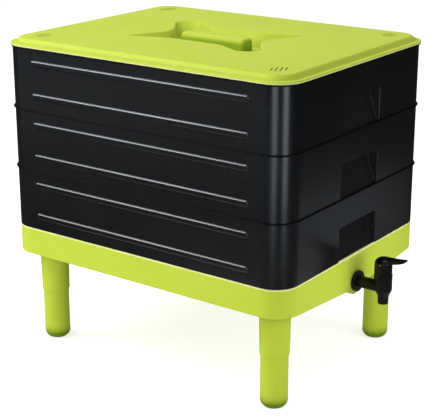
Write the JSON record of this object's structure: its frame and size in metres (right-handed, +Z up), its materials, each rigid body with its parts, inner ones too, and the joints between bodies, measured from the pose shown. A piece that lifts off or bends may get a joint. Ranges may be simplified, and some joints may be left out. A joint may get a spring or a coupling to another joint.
{
  "type": "wormery",
  "caption": "Stacked worm composting bin: nesting trays with hand-holds and drained floors between a dished lid and a collector base on round legs, with a lever tap.",
  "frame": {"origin": "centre of the overall bounding box at floor level, so under the middle of the box and its tap", "axes": "+X along the long side towards the tap, +Y along the short side away from the ribbed wall that the picture shows, +Z up"},
  "size_m": [0.6166, 0.421, 0.5155],
  "materials": {
    "lime_plastic": "satin moulded polypropylene, lime green",
    "charcoal_plastic": "satin moulded polypropylene, charcoal",
    "black_plastic": "semi-gloss moulded plastic, black",
    "black_rubber": "matt soft rubber, black",
    "spring_steel": "drawn stainless wire"
  },
  "bodies": {
    "base": {"collector": "lime_plastic", "upper_leg_front_left": "lime_plastic", "upper_leg_front_right": "lime_plastic", "upper_leg_back_left": "lime_plastic", "upper_leg_back_right": "lime_plastic", "lower_leg_front_left": "lime_plastic", "lower_leg_front_right": "lime_plastic", "lower_leg_back_left": "lime_plastic", "lower_leg_back_right": "lime_plastic", "tap_body": "black_plastic", "tap_cap": "black_plastic", "tap_nut": "black_plastic", "tap_washer_outer": "black_rubber", "tap_washer_inner": "black_rubber"},
    "lowest_tray": {"tray_bottom": "charcoal_plastic"},
    "central_tray": {"tray_middle": "charcoal_plastic"},
    "upper_tray": {"tray_top": "charcoal_plastic"},
    "cover": {"lid": "lime_plastic"},
    "valve": {"tap_stem": "black_plastic", "tap_seal": "black_rubber", "tap_spring": "spring_steel"},
    "lever": {"tap_lever": "black_plastic", "tap_pin": "spring_steel"}
  },
  "joints": [
    {"name": "bottom_tray_lift", "type": "slide", "parent": "base", "child": "lowest_tray", "axis": [0, 0, 1], "range_m": [0, 0.12]},
    {"name": "middle_tray_lift", "type": "slide", "parent": "lowest_tray", "child": "central_tray", "axis": [0, 0, 1], "range_m": [0, 0.12]},
    {"name": "top_tray_lift", "type": "slide", "parent": "central_tray", "child": "upper_tray", "axis": [0, 0, 1], "range_m": [0, 0.12]},
    {"name": "lid_lift", "type": "slide", "parent": "upper_tray", "child": "cover", "axis": [0, 0, 1], "range_m": [0, 0.15]},
    {"name": "stem_lift", "type": "slide", "parent": "base", "child": "valve", "axis": [0, 0, 1], "range_m": [0, 0.0026], "stiffness_N_per_m": 150, "springref_m": -0.003, "deforming": ["tap_spring"]},
    {"name": "lever_turn", "type": "hinge", "parent": "valve", "child": "lever", "pos_m": [0.27275, 0, 0.2002], "axis": [0, 1, 0], "range_deg": [0, 25]}
  ],
  "couplings": [
    {"joint": "lever_turn", "follows": "stem_lift", "rad_per_m": 166.67}
  ]
}
